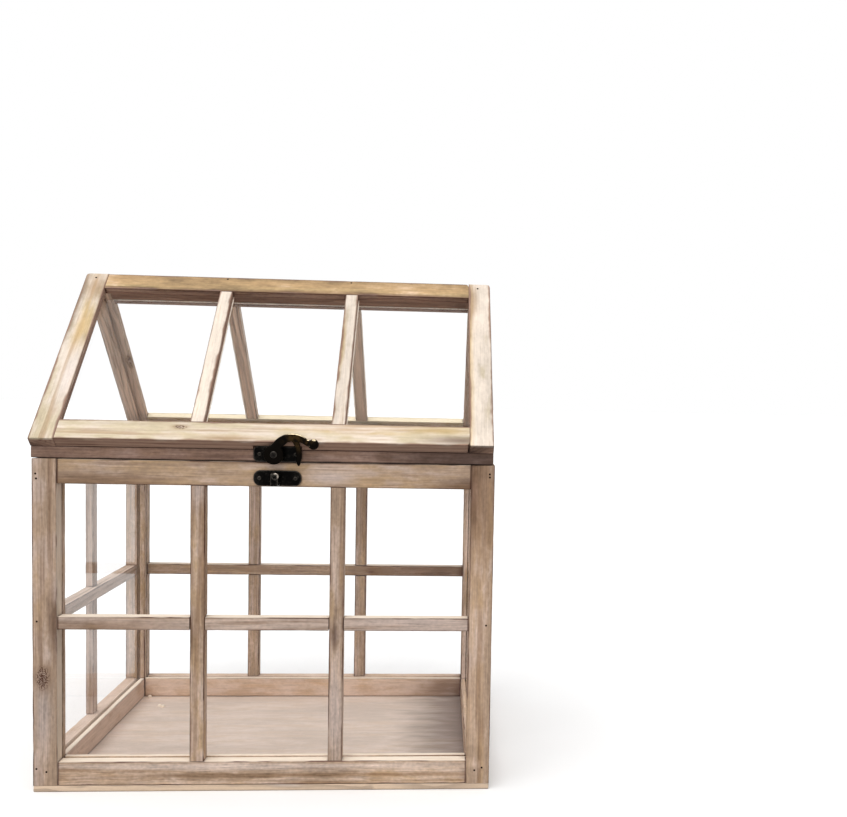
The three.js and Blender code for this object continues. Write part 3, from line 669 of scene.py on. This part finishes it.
def compound():
    """Set glazing compound, a little lumpy."""
    material, start = blank("glazing_compound")
    lumps = start.node("TexNoise", {"Vector": start.node("TexCoord", output="Object"), "Scale": 900.0}, "Fac")
    colour = start.node("Mix", {0: lumps.rise(0.3, 0.7), 6: paint(240, 220, 198), 7: paint(255, 244, 228)}, 2,
                        data_type="RGBA")
    bump = start.node("Bump", {"Height": lumps, "Strength": 0.3, "Distance": 0.0002})
    start.node("OutputMaterial", {"Surface": start.node("BsdfPrincipled", {
        "Base Color": colour, "Roughness": 0.4 + lumps * 0.2, "Normal": bump})})
    return material


def beads(name, lines, radius, finish):
    """Hand-laid beads of a hair's uneven thickness, each from one place to another in mm."""
    steps = 8
    spacing = 4
    work = bmesh.new()
    for start, end in lines:
        run = end - start
        turn = run.to_track_quat("Z", "Y").to_matrix()
        count = max(2, round(run.length / spacing))
        loops = []
        for place in range(count + 1):
            middle = start + run * place / count
            size = radius * (0.95 + 0.5 * noise.noise(middle * 0.31)) * (0.4 if place in (0, count) else 1)
            loops.append([work.verts.new((middle + turn @ Vector((
                size * math.cos(step * math.tau / steps), size * math.sin(step * math.tau / steps), 0))) * MM)
                for step in range(steps)])
        skinned(work, loops)
    return fixed(finished(work, name), "lid", "limewashed_wood", finish)


COMPOUND = compound()
PANE_TOPS = (("front", -1, 8.6), ("back", 1, 14.8))
TOP_DEPTH = 6.5
BED_DEPTH = 4.2
BED_SIDE = 0.15
HEAD_GAP = 5
FOOT_GAP = 4.4
for side, facing, head in PANE_TOPS:
    clear_left, clear_right = (corner.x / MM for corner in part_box(side + "_ridge_rail"))
    lines = [tuple(on_slope(facing, x, head, TOP_DEPTH) for x in (clear_left, clear_right))]
    for bar in ("_roof_bar_1", "_roof_bar_2"):
        low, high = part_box(side + bar)
        foot = (APEX - low.z / MM) / SLOPE - FOOT_GAP
        for x in (low.x / MM - BED_SIDE, high.x / MM + BED_SIDE):
            lines.append(tuple(on_slope(facing, x, down, BED_DEPTH) for down in (head + HEAD_GAP, foot)))
    beads(side + "_glazing_bead", lines, 0.42, COMPOUND)


# Lime flecks
# Three drops of limewash that fell on the base board, near the left corner of the back, and dried there. They
# are as pale as the glazing compound.

FLECKS = ((-90.5, 55), (-93.1, 56.4), (-105.4, 78.2))
BOARD_TOP = 3.4
studs("lime_flecks", "box", [((x, y, BOARD_TOP), Z) for x, y in FLECKS], COMPOUND, radius=1.5, dome=1.6,
      slot="weathered_wood")


# Hinges
# Two small butt hinges of aged bronze. One leaf of each is screwed to the back of the box and one to the back
# of the lid, and their knuckles turn on a riveted pin.

BRONZE = metal("aged_bronze", paint(24, 19, 13), paint(50, 40, 26), paint(96, 78, 50), worn=0.57, shine=0.34)


def metalwork(node, body, ease, finish):
    """Eases the arrises of a pressed or cast piece."""
    piece = eased(node, [(ease, lambda direction, middle: True)], sharp=0.6)
    return fitted(finished(piece, node + "_metal"), node, body, "aged_bronze", finish)


for side in ("left", "right"):
    metalwork(side + "_hinge_box_leaf", "box", 0.15, BRONZE)
    metalwork(side + "_hinge_lid_leaf", "lid", 0.15, BRONZE)
    metalwork(side + "_hinge_pin", "box", 0.12, BRONZE)
LEAF_FACE = 93.85
LEAF_MIDDLES = (-69.75, 70.25)
SCREW_SHIFT = 7
SCREW_LEVELS = {"box": 175.0, "lid": 183.9}
for body, level in SCREW_LEVELS.items():
    places = [x + shift for x in LEAF_MIDDLES for shift in (-SCREW_SHIFT, SCREW_SHIFT)]
    heads = [((x, LEAF_FACE, level), Y) for x in places]
    studs(body + "_hinge_screws", body, heads, BRONZE, radius=1.45, dome=0.55, nick=0.35)


# Latch
# A cast swan-neck hook turns on a domed rivet in the lid's plate, and its tongue slides through the keeper of
# the box's plate. The plates are blackened and nailed on, with faint painted highlights on their upper edges
# and a painted glint on the keeper's eye; the hook is worn to bronze on its high spots, with painted glints
# there and a painted highlight along the upper shoulder of its arch.

def casting(node, body, grain, finish, passes=5, swelling=0.12):
    """Gives a flat-sided CAD solid the soft, round-shouldered skin of a cast one. The grain is how fine the
    skin is, in mm. The passes round it off, and the swelling gives back what they take, in mm."""
    rough = bpy.data.objects.new(node + "_rough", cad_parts[node].data.copy())
    bpy.context.scene.collection.objects.link(rough)
    remesh = rough.modifiers.new("skin", "REMESH")
    remesh.mode = "VOXEL"
    remesh.voxel_size = grain * MM
    soften = rough.modifiers.new("soften", "SMOOTH")
    soften.factor = 0.6
    soften.iterations = passes
    swell = rough.modifiers.new("swell", "DISPLACE")
    swell.strength = swelling * MM
    swell.mid_level = 0.0
    mesh = bpy.data.meshes.new_from_object(rough.evaluated_get(bpy.context.evaluated_depsgraph_get()))
    mesh.name = node + "_metal"
    mesh.materials.clear()
    bpy.data.objects.remove(rough)
    return fitted(mesh, node, body, "aged_bronze", finish)


BLACKENED = metal("blackened_bronze", paint(8, 7, 6), paint(30, 28, 25), paint(200, 188, 174), worn=0.5,
                  shine=0.2, wear_and_glint_place=(6.6, -97.4, 173.6), reach=1.9, elsewhere=0.15, shoulder_highlight=0.7)
SWAN = metal("bronze_worn_and_highlit", paint(14, 11, 7), paint(52, 40, 23), paint(232, 212, 172), worn=0.54,
             shine=0.2, wear_and_glint_place=(19, -95, 198), reach=13.0, elsewhere=0.0, shoulder_highlight=1.0)
casting("latch_plate", "lid", 0.26, BLACKENED)
metalwork("latch_rivet", "lid", 0.08, BLACKENED)
casting("latch_hook", "latch", 0.24, SWAN, passes=40, swelling=0.25)
casting("catch_plate", "box", 0.26, BLACKENED, swelling=0.05)
PLATE_FACE = -90.25
NAIL_PLACES = (-3.6, 15.5)
NAIL_LEVELS = {"lid": 184.4, "box": 171.4}
for body, level in NAIL_LEVELS.items():
    heads = [((x, PLATE_FACE, level), -Y) for x in NAIL_PLACES]
    studs(body + "_plate_nails", body, heads, BLACKENED, radius=1.1, dome=0.4)
EYE = ((1, 0.1), (0.97, 0.6), (0.86, 0.95), (0.74, 1), (0.62, 0.9), (0.52, 0.5), (0.42, 0.2), (0.12, 0.15))
EYE_PLACE = (5.7, -96.9, 172.8)
# The blackened finish puts a painted glint on the upper right rim of the eye.
studs("keeper_eye", "box", [(EYE_PLACE, -Y)], BLACKENED, radius=2.0, dome=0.5, shape=EYE)


# Camera, floor and light
# The camera stands where the photograph was taken from. There are a plain white floor and an even sky, with a
# broad soft light from above and a little in front.

camera_data = bpy.data.cameras.new("camera")
camera_data.lens = 45.462
camera_data.sensor_width = 36.0
camera_data.shift_x = -0.1175
camera_data.shift_y = 0.0541
camera_data.clip_start = 0.01
camera = bpy.data.objects.new("camera", camera_data)
camera.location = (0.093169, -0.670622, 0.220295)
camera.rotation_euler = [math.radians(turn) for turn in (86.682375, -1.238375, -4.328535)]
bpy.context.scene.collection.objects.link(camera)
bpy.context.scene.camera = camera


def looked_at(start):
    """1 on what the camera sees straight, mirrored or through glass, and 0 on what only lights the object."""
    straight, mirrored, through = (start.node("LightPath", output=f"Is {kind} Ray")
                                   for kind in ("Camera", "Glossy", "Transmission"))
    return start.maths("MAXIMUM", start.maths("MAXIMUM", straight, mirrored), through)


FLOOR_REACH = 12.0
FLOOR_SEEN = (0.98, 0.98, 0.98, 1.0)
FLOOR_THROWN = (0.42, 0.42, 0.42, 1.0)
corners = [(x * FLOOR_REACH, y * FLOOR_REACH, 0) for x, y in ((-1, -1), (1, -1), (1, 1), (-1, 1))]
floor_mesh = bpy.data.meshes.new("floor")
floor_mesh.from_pydata(corners, [], [(0, 1, 2, 3)])
floor = bpy.data.objects.new("floor", floor_mesh)
bpy.context.scene.collection.objects.link(floor)
material, start = blank("pale_floor")
pale = start.node("Mix", {0: looked_at(start), 6: FLOOR_THROWN, 7: FLOOR_SEEN}, 2, data_type="RGBA")
shader = start.node("BsdfPrincipled", {"Base Color": pale, "Roughness": 1.0, "Specular IOR Level": 0.0})
start.node("OutputMaterial", {"Surface": shader})
floor_mesh.materials.append(material)
floor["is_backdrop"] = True

sky = bpy.data.worlds.new("sky")
sky.use_nodes = True
sky.node_tree.nodes.clear()
bpy.context.scene.world = sky
start = Wire(sky.node_tree)
SKY_GLOW = 0.38
glow = looked_at(start) * (1 - SKY_GLOW) + SKY_GLOW
even = start.node("Background", {"Color": (1.0, 1.0, 1.0, 1.0), "Strength": glow})
start.node("OutputWorld", {"Surface": even})

LAMP_SPREAD = 70
for name, power, turn in (("overhead", 2.3, (12, -8, 0)), ("window", 0.8, (68, 0, -10))):
    lamp_data = bpy.data.lights.new(name, "SUN")
    lamp_data.energy = power
    lamp_data.angle = math.radians(LAMP_SPREAD)
    lamp = bpy.data.objects.new(name, lamp_data)
    lamp.rotation_euler = [math.radians(value) for value in turn]
    bpy.context.scene.collection.objects.link(lamp)

bpy.context.scene.view_settings.view_transform = "Standard"


# The size that was kept
# The dressed model stays in the CAD's box. Its bounds are measured here.

low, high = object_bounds()
